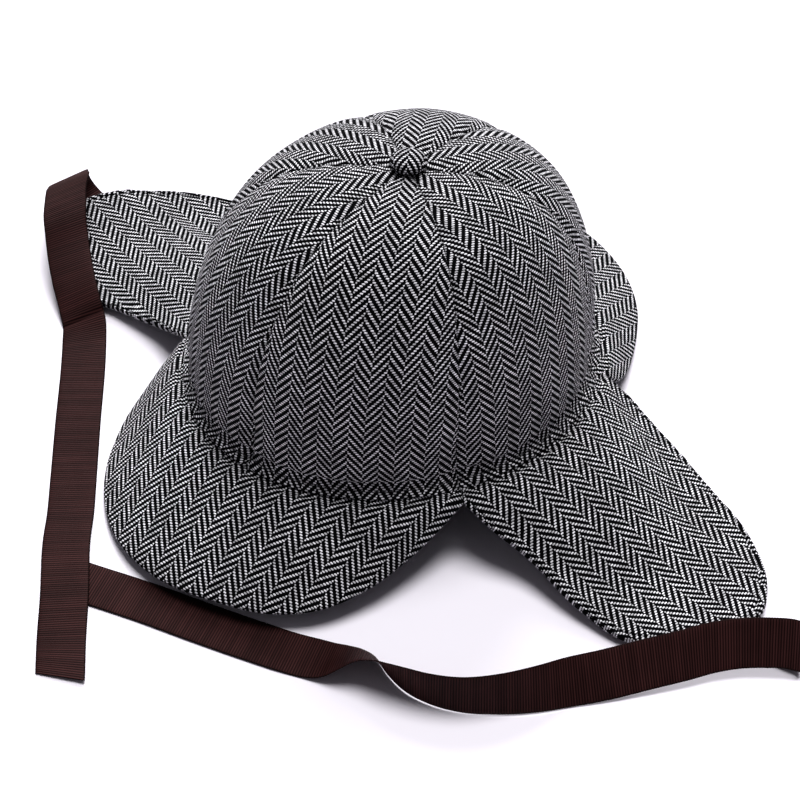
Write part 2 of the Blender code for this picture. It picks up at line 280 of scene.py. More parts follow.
# Laying a curved piece flat, for its cloth coordinates
COARSE_ROWS = 10
COARSE_COLUMNS = 100
COARSE_FLAT_ROUNDS = 1500
FINE_FLAT_ROUNDS = 160
FLAT_LINKS = ((1, 0), (0, 1), (1, 1), (1, -1))  # steps down and right to the neighbours
LINK_GIVE = 0.2  # share of a link's error that each of its ends gives way in a round

# Finer form, which the CAD solids leave out
GORE_COLUMNS = 52
GORE_ROWS = 96
LIP_ROWS = 26  # of them, those near the stitched lower edge
LIP_RUN = 13 * MM
SEAM_ROLL = 1.1 * MM
SEAM_SINK = 2.3 * MM  # the seams sink in deepest a little above the lower edge
SEAM_SINK_REACH = 9 * MM
SEAM_SINK_RUN = 20 * MM
SEAM_SINK_LENGTH = 13 * MM
PUCKER = 0.32 * MM
PUCKER_PITCH = 7.5 * MM
PUCKER_DRIFT = 3  # radians by which the puckers stray from their even pitch
PUCKER_DRIFT_SIZE = 30 * MM
SEAM_PUCKER_REACH = 5 * MM
CLOTH_UNEVENNESS = 0.55 * MM
UNEVEN_SIZE = 26 * MM
HELD_RUN = 14 * MM  # the stitched lower edge holds the cloth even up to about here
EDGE_WAVE = 0.8 * MM  # soft waves in the cloth just over its stitched edge
EDGE_WAVE_RUN = 9 * MM
EDGE_WAVE_SIZE = 9 * MM
STITCH_RUN = 3.4 * MM
STITCH_GROOVE = 0.8 * MM
STITCH_GROOVE_REACH = 0.8 * MM
THREAD_SUNK = 0.6  # share of the groove's depth at which the thread lies
STITCH_LINE_POINTS = 1201

SHORT_REACH = 105 * MM  # lines from the crown to the rim that are shorter slope more evenly
EVEN_CROWNING = 1.15
SEWN_PLACES = (-1.0, -0.66, -0.33)  # of the rows under the crown
SLACK_ROWS = 32
SLACK_COLUMNS = 320
RIM_BAND = 9 * MM  # its rows are closer together
RIM_BAND_ROWS = 14
RIM_ARC_ROWS = 6
MOST_ROUNDED = 0.45  # of a short line from the crown to the rim, the most that each kind of row takes
MOST_BANDED = 0.6
MOST_TUCKED = 0.2
SAG = 0.5 * MM  # how far the slack cloth rises and falls
SAG_SIZE = 24 * MM
SAG_FREE = 12 * MM  # the cloth sags fully this far out from the crown
SEWN_PUCKER = 0.45 * MM  # beside the crown's edge
SEWN_PUCKER_SIZE = 8 * MM
SEWN_PUCKER_REACH = 8 * MM
TUCK = 1.5 * MM  # the peaks and flaps dip just outside the crown's edge, where they are sewn in under it
TUCK_PLACE = 0.7 * MM
TUCK_REACH = 1.3 * MM
TUCK_BAND = 5 * MM  # its rows are closer together
TUCK_BAND_ROWS = 8
HEM_WIDTH = 4.3 * MM  # the flaps are stitched through, this far from their rims
HEM_GROOVE = 1.3 * MM
HEM_GROOVE_REACH = 0.6 * MM
HEM_PUCKER = 0.45 * MM
HEM_PUCKER_SIZE = 3.5 * MM
HEM_PUCKER_REACH = 1.3 * HEM_WIDTH
BRIM_SEED_STEP = 7.3

# Camera and light
CAMERA_AZIMUTH = 39.65
CAMERA_ELEVATION = 47.43
CAMERA_DISTANCE = 0.95
CAMERA_TARGET = (0.0337, -0.0310, 0.05)
CAMERA_LENS = 97.1
LIGHTS = (  # name, place, of which only the direction counts, and strength
    ("key_light", (-1.18, 1.39, 1.26), 2.6),
    ("top_light", (-0.09, 0.52, 2.14), 2.45),
)
LIGHT_SPREAD = 30  # degrees
ROOM_COLOUR = (0.94, 0.92, 1.0, 1.0)
ROOM_STRENGTH = 0.12
FLOOR_COLOUR = (0.92, 0.885, 0.95, 1.0)
FLOOR_HALF = 12.0
FLOOR_HEIGHT = -0.1 * MM  # just under what rests on it


# Node trees -------------------------------------------------------------------------------------------------


class Tree:
    """A node tree being built, in which a value is a number or another node's socket."""

    def __init__(self, tree):
        self.tree = tree

    def feed(self, socket, value):
        if isinstance(value, bpy.types.NodeSocket):
            self.tree.links.new(value, socket)
        else:
            socket.default_value = value

    def add(self, kind, inputs=None, **settings):
        node = self.tree.nodes.new(kind)
        for name, setting in settings.items():
            setattr(node, name, setting)
        for name, value in (inputs or {}).items():
            self.feed(node.inputs[name], value)
        return node

    def operate(self, kind, operation, values):
        node = self.add(kind, operation=operation)
        for socket, value in zip(node.inputs, values):
            self.feed(socket, value)
        return node.outputs[0]

    def math(self, operation, *values):
        return self.operate("ShaderNodeMath", operation, values)

    def vector_math(self, operation, *values):
        return self.operate("ShaderNodeVectorMath", operation, values)

    def scaled(self, vector, factor):
        inputs = {"Vector": vector, "Scale": factor}
        return self.add("ShaderNodeVectorMath", inputs, operation="SCALE").outputs[0]

    def from_middle(self, share):
        """0 in the middle of a span and 1 at both of its ends, for a share of the span from 0 to 1."""
        return self.math("ABSOLUTE", self.math("SUBTRACT", self.math("MULTIPLY", share, 2), 1))

    def ramp(self, value, low, high, low_result=0.0, high_result=1.0):
        """Smooth change of a value from one result to another."""
        inputs = {
            "Value": value,
            "From Min": low,
            "From Max": high,
            "To Min": low_result,
            "To Max": high_result,
        }
        return self.add("ShaderNodeMapRange", inputs, interpolation_type="SMOOTHSTEP").outputs["Result"]

    def mix_colours(self, factor, first, second, blend_type="MIX"):
        node = self.add("ShaderNodeMix", data_type="RGBA", blend_type=blend_type)
        self.feed(node.inputs["Factor"], factor)
        self.feed(node.inputs[6], first)
        self.feed(node.inputs[7], second)
        return node.outputs[2]


def new_group(kind, name, inputs, outputs):
    """A node group with inputs (name, socket kind, usual value) and outputs (name, socket kind)."""
    group = bpy.data.node_groups.new(name, kind)
    for socket_name, socket_kind, usual in inputs:
        socket = group.interface.new_socket(socket_name, in_out="INPUT", socket_type=socket_kind)
        if usual is not None:
            socket.default_value = usual
    for socket_name, socket_kind in outputs:
        group.interface.new_socket(socket_name, in_out="OUTPUT", socket_type=socket_kind)
    tree = Tree(group)
    given = tree.add("NodeGroupInput").outputs
    result = tree.add("NodeGroupOutput").inputs
    return tree, given, result


# Materials --------------------------------------------------------------------------------------------------


def make_herringbone_group():
    """Pale weft floats over two of four dark warp yarns. Only each float's middle is painted pale: the dark
    round it stands for the black warp and for painted shade in the gaps between floats. Their slant turns
    round from column to column, where pale meets dark."""
    inputs = (
        ("Cloth Place", "NodeSocketVector", None),
        ("Yarn Width", "NodeSocketFloat", YARN_WIDTH),
        ("Pick Pitch", "NodeSocketFloat", PICK_PITCH),
        ("Float Length", "NodeSocketFloat", 0.95),
        ("Float Width", "NodeSocketFloat", 0.87),
        ("Waviness", "NodeSocketFloat", 0.65 * MM),
    )
    outputs = (("Pale", "NodeSocketFloat"), ("Height", "NodeSocketFloat"), ("Tone", "NodeSocketFloat"))
    tree, given, result = new_group("ShaderNodeTree", "herringbone_twill", inputs, outputs)
    drift = tree.add("ShaderNodeTexNoise", {"Vector": given["Cloth Place"], "Scale": 70.0, "Detail": 1.0})
    offset = tree.vector_math("SUBTRACT", drift.outputs["Color"], (0.5, 0.5, 0.5))
    shift = tree.scaled(offset, given["Waviness"])
    place = tree.vector_math("ADD", given["Cloth Place"], shift)
    axes = tree.add("ShaderNodeSeparateXYZ", {"Vector": place}).outputs
    yarns = tree.math("DIVIDE", axes["X"], given["Yarn Width"])
    picks = tree.math("DIVIDE", axes["Y"], given["Pick Pitch"])
    yarn, across = tree.math("FLOOR", yarns), tree.math("FRACT", yarns)
    pick, along = tree.math("FLOOR", picks), tree.math("FRACT", picks)

    column = tree.math("FLOOR", tree.math("DIVIDE", yarn, COLUMN_YARNS))
    in_column = tree.math("FLOORED_MODULO", yarn, COLUMN_YARNS)
    mirrored = tree.math("FLOORED_MODULO", column, 2)
    turned_back = tree.math("SUBTRACT", COLUMN_YARNS + 1, tree.math("MULTIPLY", in_column, 2))
    slant = tree.math("ADD", in_column, tree.math("MULTIPLY", mirrored, turned_back))
    step = tree.math("FLOORED_MODULO", tree.math("ADD", pick, slant), TWILL_REPEAT)
    other_way = tree.math("SUBTRACT", 1, tree.math("MULTIPLY", step, 2))
    order = tree.math("ADD", step, tree.math("MULTIPLY", mirrored, other_way))
    on_float = tree.math("LESS_THAN", step, 1.5)

    float_share = tree.math("DIVIDE", tree.math("ADD", order, across), 2)
    lengthways = tree.math("DIVIDE", tree.from_middle(float_share), given["Float Length"])
    sideways = tree.math("DIVIDE", tree.from_middle(along), given["Float Width"])
    end_fall = tree.math("POWER", lengthways, 3.0)
    side_fall = tree.math("POWER", sideways, 2.2)
    dome = tree.math("SUBTRACT", 1, tree.math("ADD", end_fall, side_fall))
    # Partly painted shade: the pale colour fades out before the float's dome does. The dark gaps this leaves
    # between floats stand both for the black warp and for shade.
    pale = tree.math("MULTIPLY", tree.ramp(dome, -0.02, 0.58), on_float)
    tree.feed(result["Pale"], pale)

    warp_fall = tree.math("POWER", tree.from_middle(across), 2)
    warp_height = tree.math("MULTIPLY", tree.math("SUBTRACT", 1, warp_fall), 0.45)
    pale_height = tree.math("MULTIPLY", tree.math("MAXIMUM", dome, 0), on_float)
    tree.feed(result["Height"], tree.math("MAXIMUM", warp_height, pale_height))

    float_start = tree.math("SUBTRACT", yarn, order)
    float_place = tree.add("ShaderNodeCombineXYZ", {"X": float_start, "Y": pick}).outputs[0]
    chance = tree.add("ShaderNodeTexWhiteNoise", {"Vector": float_place}, noise_dimensions="2D")
    tree.feed(result["Tone"], chance.outputs["Value"])
    return tree.tree


def make_fuzz_group():
    """Fine loose fibres, and the slow change of tone over a piece of woollen or silky cloth."""
    inputs = (
        ("Cloth Place", "NodeSocketVector", None),
        ("Fibre Size", "NodeSocketFloat", 0.3 * MM),
        ("Patch Size", "NodeSocketFloat", 25 * MM),
    )
    outputs = (("Fibres", "NodeSocketFloat"), ("Patches", "NodeSocketFloat"))
    tree, given, result = new_group("ShaderNodeTree", "fibres_and_patches", inputs, outputs)
    for name, size, detail in (("Fibres", "Fibre Size", 3.0), ("Patches", "Patch Size", 2.0)):
        scale = tree.math("DIVIDE", 1.0, given[size])
        texture = tree.add(
            "ShaderNodeTexNoise", {"Vector": given["Cloth Place"], "Scale": scale, "Detail": detail}
        )
        tree.feed(result[name], texture.outputs[0])
    return tree.tree


def make_rib_group():
    """Ribs across a ribbon, for relief and for a painted highlight along each crest with painted shade
    between, and its selvedges, along which shade is painted at the rounded edges.
    """
    inputs = (
        ("Cloth Place", "NodeSocketVector", None),
        ("Rib Pitch", "NodeSocketFloat", RIB_PITCH),
        ("Half Width", "NodeSocketFloat", RIBBON_WIDTH / 2),
        ("Selvedge", "NodeSocketFloat", 0.9 * MM),
    )
    outputs = (("Rib", "NodeSocketFloat"), ("Edge", "NodeSocketFloat"), ("Rib Tone", "NodeSocketFloat"))
    tree, given, result = new_group("ShaderNodeTree", "ribbed_ribbon", inputs, outputs)
    axes = tree.add("ShaderNodeSeparateXYZ", {"Vector": given["Cloth Place"]}).outputs
    ribs = tree.math("DIVIDE", axes["Y"], given["Rib Pitch"])
    from_axis = tree.from_middle(tree.math("FRACT", ribs))
    tree.feed(result["Rib"], tree.ramp(from_axis, 0.95, 0.15))
    inside = tree.math("SUBTRACT", given["Half Width"], tree.math("ABSOLUTE", axes["X"]))
    # Edge: the selvedge mask, by which shade is painted along the ribbon's rounded edges.
    tree.feed(result["Edge"], tree.ramp(tree.math("DIVIDE", inside, given["Selvedge"]), 1.0, 0.3))
    chance = tree.add("ShaderNodeTexWhiteNoise", {"W": tree.math("FLOOR", ribs)}, noise_dimensions="1D")
    tree.feed(result["Rib Tone"], chance.outputs["Value"])
    return tree.tree


def new_material(name):
    material = bpy.data.materials.new(name)
    material.use_nodes = True
    return material, Tree(material.node_tree), material.node_tree.nodes["Principled BSDF"]


def use_group(tree, group, **values):
    """Places a group, with its inputs named in lower case with underscores."""
    node = tree.add("ShaderNodeGroup", node_tree=group)
    for name, value in values.items():
        tree.feed(node.inputs[name.replace("_", " ").title()], value)
    return node.outputs


def add_relief(tree, shader, height, depth, strength):
    bump = tree.add("ShaderNodeBump", {"Height": height, "Distance": depth, "Strength": strength})
    tree.feed(shader.inputs["Normal"], bump.outputs["Normal"])


def make_tweed(herringbone, fuzz):
    material, tree, shader = new_material("herringbone_tweed")
    place = tree.add("ShaderNodeUVMap", uv_map=CLOTH_MAP).outputs["UV"]
    weave = use_group(tree, herringbone, cloth_place=place)
    fluff = use_group(tree, fuzz, cloth_place=place, fibre_size=0.35 * MM, patch_size=22 * MM)
    fibre_tone = tree.ramp(fluff["Fibres"], 0.25, 0.75, 0.70, 1.18)
    patch_tone = tree.ramp(fluff["Patches"], 0.3, 0.7, 0.90, 1.08)
    yarn_tone = tree.ramp(weave["Tone"], 0.0, 1.0, 0.62, 1.10)
    tone = tree.math("MULTIPLY", tree.math("MULTIPLY", fibre_tone, patch_tone), yarn_tone)
    colour = tree.mix_colours(weave["Pale"], DARK_YARN_AND_GAP_SHADE, PALE_YARN)
    tree.feed(shader.inputs["Base Color"], tree.scaled(colour, tone))
    tree.feed(shader.inputs["Roughness"], tree.ramp(fluff["Fibres"], 0.2, 0.8, 0.82, 0.98))
    height = tree.math("ADD", weave["Height"], tree.math("MULTIPLY", fluff["Fibres"], 0.35))
    add_relief(tree, shader, height, 0.28 * MM, 0.75)
    shader.inputs["Specular IOR Level"].default_value = 0.04
    shader.inputs["Sheen Weight"].default_value = 0.01
    shader.inputs["Sheen Roughness"].default_value = 0.5
    return material


def make_ribbon_finish(ribbed, fuzz):
    material, tree, shader = new_material("brown_ribbed_ribbon")
    place = tree.add("ShaderNodeUVMap", uv_map=CLOTH_MAP).outputs["UV"]
    ribs = use_group(tree, ribbed, cloth_place=place)
    fluff = use_group(tree, fuzz, cloth_place=place, fibre_size=0.22 * MM, patch_size=18 * MM)
    # Painted light and shade: each rib's crest is painted lighter and the grooves between the ribs darker.
    rib_light_and_shade_colour = tree.mix_colours(ribs["Rib"], RIBBON_GROOVE_SHADE_BROWN, RIBBON_RIB_HIGHLIGHT_BROWN)
    # Painted shade along the selvedges.
    colour = tree.mix_colours(ribs["Edge"], rib_light_and_shade_colour, RIBBON_EDGE_SHADE_BROWN)
    fibre_tone = tree.ramp(fluff["Fibres"], 0.25, 0.75, 0.78, 1.2)
    patch_tone = tree.ramp(fluff["Patches"], 0.3, 0.7, 0.9, 1.1)
    rib_tone = tree.ramp(ribs["Rib Tone"], 0.0, 1.0, 0.85, 1.15)
    tone = tree.math("MULTIPLY", tree.math("MULTIPLY", fibre_tone, patch_tone), rib_tone)
    tree.feed(shader.inputs["Base Color"], tree.scaled(colour, tone))
    tree.feed(shader.inputs["Roughness"], tree.ramp(fluff["Fibres"], 0.2, 0.8, 0.5, 0.68))
    height = tree.math("ADD", ribs["Rib"], tree.math("MULTIPLY", fluff["Fibres"], 0.15))
    add_relief(tree, shader, height, 0.12 * MM, 0.6)
    shader.inputs["Specular IOR Level"].default_value = 0.06
    return material


def make_thread(fuzz):
    material, tree, shader = new_material("black_thread")
    place = tree.add("ShaderNodeTexCoord").outputs["Object"]
    fluff = use_group(tree, fuzz, cloth_place=place, fibre_size=0.25 * MM, patch_size=6 * MM)
    colour = tree.mix_colours(fluff["Fibres"], THREAD_BLACK, THREAD_FIBRE_GREY)
    tree.feed(shader.inputs["Base Color"], colour)
    tree.feed(shader.inputs["Roughness"], tree.ramp(fluff["Fibres"], 0.2, 0.8, 0.55, 0.8))
    add_relief(tree, shader, fluff["Fibres"], 0.05 * MM, 0.5)
    return material


def make_floor_finish():
    material, tree, shader = new_material("white_floor")
    place = tree.add("ShaderNodeTexCoord").outputs["Object"]
    grain = tree.add("ShaderNodeTexNoise", {"Vector": place, "Scale": 40.0}).outputs[0]
    tree.feed(shader.inputs["Roughness"], tree.ramp(grain, 0.2, 0.8, 0.8, 0.9))
    shader.inputs["Base Color"].default_value = FLOOR_COLOUR
    shader.inputs["Specular IOR Level"].default_value = 0.2
    return material


# Meshes -----------------------------------------------------------------------------------------------------


def grid_faces(index):
    """Four-cornered faces between neighbours in a grid of point numbers."""
    corners = (index[:-1, :-1], index[1:, :-1], index[1:, 1:], index[:-1, 1:])
    return np.stack(corners, axis=-1).reshape(-1, 4)


def add_piece(name, points, faces, cloth, material):
    """A smooth piece from points round the crown's centre. Points that meet are joined, and faces are turned
    outwards."""
    mesh = bpy.data.meshes.new(name)
    mesh.from_pydata((points + PLACE).tolist(), [], faces.tolist())
    corners = np.empty(len(mesh.loops), dtype=np.int32)
    mesh.loops.foreach_get("vertex_index", corners)
    mesh.uv_layers.new(name=CLOTH_MAP).data.foreach_set("uv", cloth[corners].ravel())
    builder = bmesh.new()
    builder.from_mesh(mesh)
    bmesh.ops.remove_doubles(builder, verts=builder.verts, dist=0.002 * MM)
    bmesh.ops.recalc_face_normals(builder, faces=builder.faces)
    builder.to_mesh(mesh)
    builder.free()
    mesh.materials.append(material)
    mesh.shade_smooth()
    piece = bpy.data.objects.new(name, mesh)
    bpy.context.scene.collection.objects.link(piece)
    return piece


def add_shell(name, outer, inner, cloth, material):
    """A closed piece of cloth between two grids of points, which share the cloth's coordinates."""
    front = np.arange(outer.shape[0] * outer.shape[1]).reshape(outer.shape[:2])
    back = front + front.size
    edges = (
        (front[0], back[0]),
        (front[-1], back[-1]),
        (front[:, 0], back[:, 0]),
        (front[:, -1], back[:, -1]),
    )
    faces = [grid_faces(front), grid_faces(back)] + [grid_faces(np.stack(edge)) for edge in edges]
    points = np.concatenate([outer.reshape(-1, 3), inner.reshape(-1, 3)])
    flat = cloth.reshape(-1, 2)
    return add_piece(name, points, np.concatenate(faces), np.concatenate([flat, flat]), material)


def smooth_through(rows, shares, place_columns):
    """Cubic curve through rows, read at shares of its length, which their first columns measure."""
    rows = np.array(rows, dtype=float)
    steps = np.linalg.norm(np.diff(rows[:, :place_columns], axis=0), axis=1)
    knots = np.concatenate([[0.0], np.cumsum(steps)]) / steps.sum()
    slopes = np.gradient(rows, knots, axis=0)
    spans = np.clip(np.searchsorted(knots, shares, side="right") - 1, 0, len(knots) - 2)
    width = (knots[spans + 1] - knots[spans])[:, None]
    t = (shares - knots[spans])[:, None] / width
    start, end = rows[spans], rows[spans + 1]
    rise = start * (1 + 2 * t) * (1 - t) ** 2 + end * t**2 * (3 - 2 * t)
    return rise + width * (slopes[spans] * t * (1 - t) ** 2 - slopes[spans + 1] * t**2 * (1 - t))


def fade(distance, reach):
    """1 at no distance, and falling away smoothly over about that reach."""
    return np.exp(-((distance / reach) ** 2))


def unevenness(points, size, seed):
    """Smooth random values from -1 to 1 at a grid of points, with bumps of that size."""
    places = points.reshape(-1, 3) / size + seed
    return np.array([noise.noise(Vector(place)) for place in places]).reshape(points.shape[:-1])


def grid_normals(points):
    """Unit normals of a grid of points, on the side that faces up."""
    faces = np.cross(points[1:, 1:] - points[:-1, :-1], points[1:, :-1] - points[:-1, 1:])
    normals = np.zeros_like(points)
    for rows in (slice(0, -1), slice(1, None)):
        for columns in (slice(0, -1), slice(1, None)):
            normals[rows, columns] += faces
    normals /= np.linalg.norm(normals, axis=-1, keepdims=True)
    return normals if normals[..., 2].mean() > 0 else -normals


def run_geometry_tree(piece, group, values):
    """Runs a tree on a piece with those inputs, and keeps the result as its plain mesh."""
    modifier = piece.modifiers.new(group.name, "NODES")
    modifier.node_group = group
    for item in group.interface.items_tree:
        if item.item_type == "SOCKET" and item.in_out == "INPUT" and item.name in values:
            modifier[item.identifier] = values[item.name]
    graph = bpy.context.evaluated_depsgraph_get()
    piece.data = bpy.data.meshes.new_from_object(piece.evaluated_get(graph))
    piece.modifiers.clear()
    return piece


def length_along(points, axis):
    """Distance along the lines of a grid of points in that direction, from their first points."""
    steps = np.linalg.norm(np.diff(points, axis=axis), axis=-1)
    return np.concatenate([np.zeros_like(steps.take([0], axis)), np.cumsum(steps, axis=axis)], axis=axis)


# Crown ------------------------------------------------------------------------------------------------------


def base_height(x, y):
    """Height of the plane that the crown's lower edge lies in."""
    return BASE_HEIGHT + BASE_RISE_TO_LEFT * x - BASE_RISE_TO_FRONT * y


def dome_profile():
    """The dome from its lower edge to its top: length run along it, turn, inward shrink and lift."""
    turn = np.linspace(0.0, math.pi / 2, 600)
    shrink = np.cos(turn) ** CROWN_SIDE_BULGE
    shrink[-1] = 0.0
    lift = np.sin(turn) ** CROWN_TOP_BULGE
    radius = (CROWN_HALF_WIDTH + CROWN_HALF_LENGTH) / 2
    steps = np.hypot(np.diff(shrink) * radius, np.diff(lift) * CROWN_HEIGHT)
    return np.concatenate([[0.0], np.cumsum(steps)]), turn, shrink, lift


DOME = dome_profile()
DOME_RUN = DOME[0][-1]
TOP_RUN = np.interp(-APEX_HOLE / CROWN_HALF_WIDTH, -DOME[2], DOME[0])


def crown_surface(angles, runs, puff):
    """Points of the dome at angles from the front towards +X, that far up the cloth and puffed out so far."""
    turn, shrink, lift = (np.interp(climb(runs), DOME[0], column) for column in DOME[1:])
    across, along = np.sin(angles), -np.cos(angles)
    x = across * (CROWN_HALF_WIDTH * shrink + puff * np.cos(turn)) + APEX_SHIFT[0] * lift**2
    y = along * (CROWN_HALF_LENGTH * shrink + puff * np.cos(turn)) + APEX_SHIFT[1] * lift**2
    return np.stack([x, y, base_height(x, y) + CROWN_HEIGHT * lift + puff * np.sin(turn)], axis=-1)


def rolled_edge(distance):
    """How far cloth that is turned in over an edge drops, at a distance from that edge."""
    inside = np.clip(1 - distance / SEAM_ROLL, 0.0, 1.0)
    return SEAM_ROLL * (1 - np.sqrt(1 - inside**2))


def seam_sink(runs, from_seam):
    """The soft hollow along the lower part of each seam."""
    return SEAM_SINK * fade(runs - SEAM_SINK_RUN, SEAM_SINK_LENGTH) * fade(from_seam, SEAM_SINK_REACH)


def gore_form(runs, shares, widths):
    """The CAD gore's form: full between its seams, dipped at them, and turned out at its lower edge."""
    from_seam = np.minimum(shares, 1 - shares) * widths
    fullness = GORE_PUFF * np.sin(math.pi * shares) * np.sin(math.pi * runs / DOME_RUN)
    fullness -= seam_sink(runs, from_seam)
    dip = SEAM_DIP * fade(from_seam, SEAM_DIP_REACH) * np.minimum(1.0, runs / FLARE_REACH)
    flare = FLARE * np.maximum(0.0, 1 - runs / FLARE_REACH) ** 1.4
    crease = CREASE * fade(runs - FLARE_REACH, CREASE_REACH)
    return fullness - dip + flare - crease


def climb(runs):
    """How far up the dome the cloth is at each run. The flared edge lies flatter than the wall over it."""
    share = np.clip(runs / FLARE_REACH, 0.0, 1.0)
    return runs - FLARE_REACH * FLARE_LEVEL * share * (1 - share)


def gore_detail(angles, runs, shares, widths):
    """What sewing adds to a gore: rolled edges, puckers along the seams, a stitch groove and uneven cloth."""
    from_seam = np.minimum(shares, 1 - shares) * widths
    plain = crown_surface(angles, runs, np.zeros_like(runs))
    drift = PUCKER_DRIFT * unevenness(plain, PUCKER_DRIFT_SIZE, seed=5.0)
    puckers = PUCKER * np.sin(2 * math.pi * runs / PUCKER_PITCH + drift) * fade(from_seam, SEAM_PUCKER_REACH)
    groove = STITCH_GROOVE * fade(runs - STITCH_RUN, STITCH_GROOVE_REACH)
    uneven = CLOTH_UNEVENNESS * unevenness(plain, UNEVEN_SIZE, seed=1.7) * (1 - fade(runs, HELD_RUN))
    waves = EDGE_WAVE * unevenness(plain, EDGE_WAVE_SIZE, seed=3.1)
    waves *= fade(runs - EDGE_WAVE_RUN, EDGE_WAVE_RUN)
    return puckers - groove + uneven + waves - rolled_edge(from_seam) - rolled_edge(runs)


def hem_drop(angles, runs):
    """How far the gores' edge hangs under the dome's edge."""
    from_corners = np.abs(np.degrees(angles)[..., None] - BRIM_CORNERS).min(axis=-1)
    return (HEM_DROP + CORNER_DROP * fade(from_corners, CORNER_REACH)) * fade(runs, HEM_DROP_REACH)


def build_gore(name, first_angle, last_angle, finish):
    """One gore with its cloth's columns along its middle, turned in at its seams and lower edge."""
    upper = np.linspace(LIP_RUN, TOP_RUN, GORE_ROWS - LIP_ROWS + 1)[1:]
    runs = np.concatenate([np.linspace(0.0, LIP_RUN, LIP_ROWS), upper])
    shares = (1 - np.cos(math.pi * np.arange(GORE_COLUMNS + 1) / GORE_COLUMNS)) / 2
    runs, shares = np.meshgrid(runs, shares, indexing="ij")
    angles = first_angle + (last_angle - first_angle) * shares
    widths = (last_angle - first_angle) * CROWN_HALF_WIDTH * np.interp(runs, DOME[0], DOME[2])
    form = gore_form(runs, shares, widths)
    outer = crown_surface(angles, runs, form + gore_detail(angles, runs, shares, widths))
    inner = crown_surface(angles, runs, form - GORE_CLOTH)
    outer[..., 2] -= hem_drop(angles, runs)
    inner[..., 2] -= hem_drop(angles, runs)
    across = length_along(outer, 1)
    across -= across[:, GORE_COLUMNS // 2, None]
    up = length_along(outer, 0)
    up = np.where(runs < LIP_RUN, up - up[LIP_ROWS] + runs[LIP_ROWS], runs)
    piece = add_shell(name, outer, inner, np.stack([across, up], axis=-1), finish)
    middles = (across[1:] + across[:-1]) / 2
    cut_area = (np.diff(middles, axis=1) * np.diff(runs, axis=0)[:, 1:]).sum()
    return piece, (np.ptp(across[LIP_ROWS]), DOME_RUN), cut_area


# Peaks and ear flaps ----------------------------------------------------------------------------------------


def peak_fall(t, _reach):
    """Height share of a peak between the crown and its rim."""
    return 1 - t**PEAK_CROWNING


def flap_fall(t, reach):
    """Height share of a flap between the crown and its rim. Where it is short, near its corners, it slopes
    evenly."""
    short = np.clip((SHORT_REACH - reach) / SHORT_REACH, 0.0, 1.0)[:, None]
    landed = (1 + np.cos(math.pi * np.minimum(t / FLAP_LANDED, 1.0))) / 2
    return landed * (1 - short) + (1 - t**EVEN_CROWNING) * short


def brim_underside(rim_rows, degrees, thickness, fall, shares, outward):
    """Points of a peak's or flap's underside. Shares run along its rim, and outward from -1 at the inner edge
    of the ledge it is sewn to, through 0 at the ledge's outer edge, to 1 at the rim. Outward is a grid with a
    column for each share."""
    rim = smooth_through(rim_rows, shares, 2) * MM
    rim[:, 2] = np.maximum(rim[:, 2], 0.0)
    first = math.radians(degrees[0]) + SEAM_ANGLE_GAP
    last = math.radians(degrees[1]) - SEAM_ANGLE_GAP
    angles = first + (last - first) * shares

    def ledge(reach):
        x = (CROWN_HALF_WIDTH + reach) * np.sin(angles)
        y = -(CROWN_HALF_LENGTH + reach) * np.cos(angles)
        return np.stack([x, y, base_height(x, y) - LEDGE_GAP - 1.01 * thickness], axis=-1)

    inner, outer = ledge(-LEDGE_IN), ledge(LEDGE_OUT)
    t = np.maximum(outward, 0.0)[..., None]
    sewn = np.maximum(-outward, 0.0)[..., None]
    points = outer + (rim - outer) * t + (inner - outer) * sewn
    reach = np.linalg.norm((rim - outer)[:, :2], axis=1)
    points[..., 2:] = rim[:, 2:] + (outer[:, 2:] - rim[:, 2:]) * fall(t, reach)
    points[..., 2:] += (inner - outer)[:, 2:] * sewn
    return points


def lay_flat(points, flat, rounds):
    """Flat places for a curved grid of points, from rough ones. In each round, each link between neighbours
    pulls or pushes towards its own length, as in cloth that is smoothed out on a table."""
    flat = flat.copy()
    columns = flat.shape[1]
    for _ in range(rounds):
        for down, right in FLAT_LINKS:
            near = (slice(0, len(flat) - down), slice(max(0, -right), columns - max(0, right)))
            far = (slice(down, None), slice(max(0, right), columns - max(0, -right)))
            rest = np.linalg.norm(points[far] - points[near], axis=-1, keepdims=True)
            gap = flat[far] - flat[near]
            length = np.linalg.norm(gap, axis=-1, keepdims=True)
            pull = gap * LINK_GIVE * (1 - rest / np.maximum(length, 1e-9))
            flat[near] += pull
            flat[far] -= pull
    return flat


def spread(coarse, coarse_outward, coarse_shares, outward, shares):
    """Reads a coarse grid at each point of a fine one."""
    by_share = np.stack([np.interp(shares, coarse_shares, row) for row in coarse])
    columns = [np.interp(outward[:, i], coarse_outward, by_share[:, i]) for i in range(len(shares))]
    return np.stack(columns, axis=1)


def cloth_places(underside, outward, shares, points, grain):
    """Cloth coordinates of a brim piece, with the herringbone's columns in the grain's compass direction. The
    whole piece is laid flat as a coarse grid first."""
    coarse_outward = np.concatenate([[-1.0], np.linspace(0.0, 1.0, COARSE_ROWS)])
    coarse_shares = np.linspace(0.0, 1.0, COARSE_COLUMNS + 1)
    coarse = underside(coarse_shares, np.repeat(coarse_outward[:, None], len(coarse_shares), axis=1))
    moved = lay_flat(coarse, coarse[..., :2], COARSE_FLAT_ROUNDS) - coarse[..., :2]
    moves = [spread(moved[..., axis], coarse_outward, coarse_shares, outward, shares) for axis in (0, 1)]
    flat = lay_flat(points, points[..., :2] + np.stack(moves, axis=-1), FINE_FLAT_ROUNDS)
    compass = math.radians(grain)
    across = flat[..., 0] * math.sin(compass) - flat[..., 1] * math.cos(compass)
    along = flat[..., 0] * math.cos(compass) + flat[..., 1] * math.sin(compass)
    return np.stack([across, along], axis=-1)


